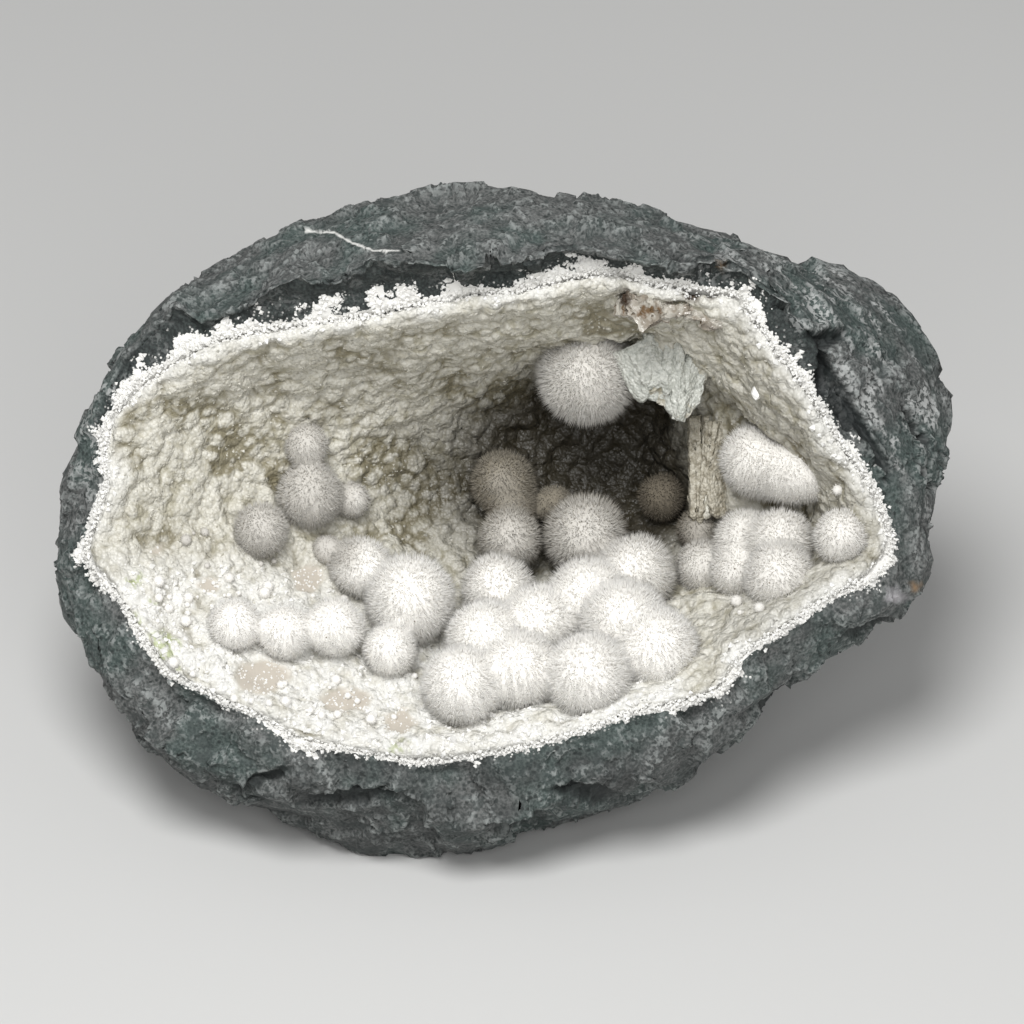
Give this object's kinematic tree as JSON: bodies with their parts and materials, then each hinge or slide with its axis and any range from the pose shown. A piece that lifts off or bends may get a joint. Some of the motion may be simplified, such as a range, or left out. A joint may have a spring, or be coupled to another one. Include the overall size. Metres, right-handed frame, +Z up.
{
  "type": "okenite puffballs in a basalt vug",
  "caption": "Broken basalt cobble with an open crystal-lined hollow that holds white, fuzzy balls of okenite fibre.",
  "frame": {"origin": "middle of the bounding box's foot, on the flat underside that the specimen rests on", "axes": "+X along the longest side, -Y the way the open hollow faces, +Z up"},
  "size_m": [0.1798, 0.1073, 0.1173],
  "materials": {
    "basalt": "rough broken basalt, mottled grey-green",
    "druse": "sugary crystal crust with a frosty white rim",
    "calcite": "broken, glassy and brownish",
    "okenite": "soft white balls of fine radiating fibre"
  },
  "bodies": {
    "root": {"basalt_matrix": "basalt", "druse_crust": "druse", "rim_calcite": "calcite", "okenite_ceiling_ball": "okenite", "okenite_right_wall_balls": "okenite", "okenite_cave_ball": "okenite", "okenite_left_wall_balls": "okenite", "okenite_floor_balls": "okenite", "okenite_far_right_ball": "okenite"}
  },
  "joints": []
}
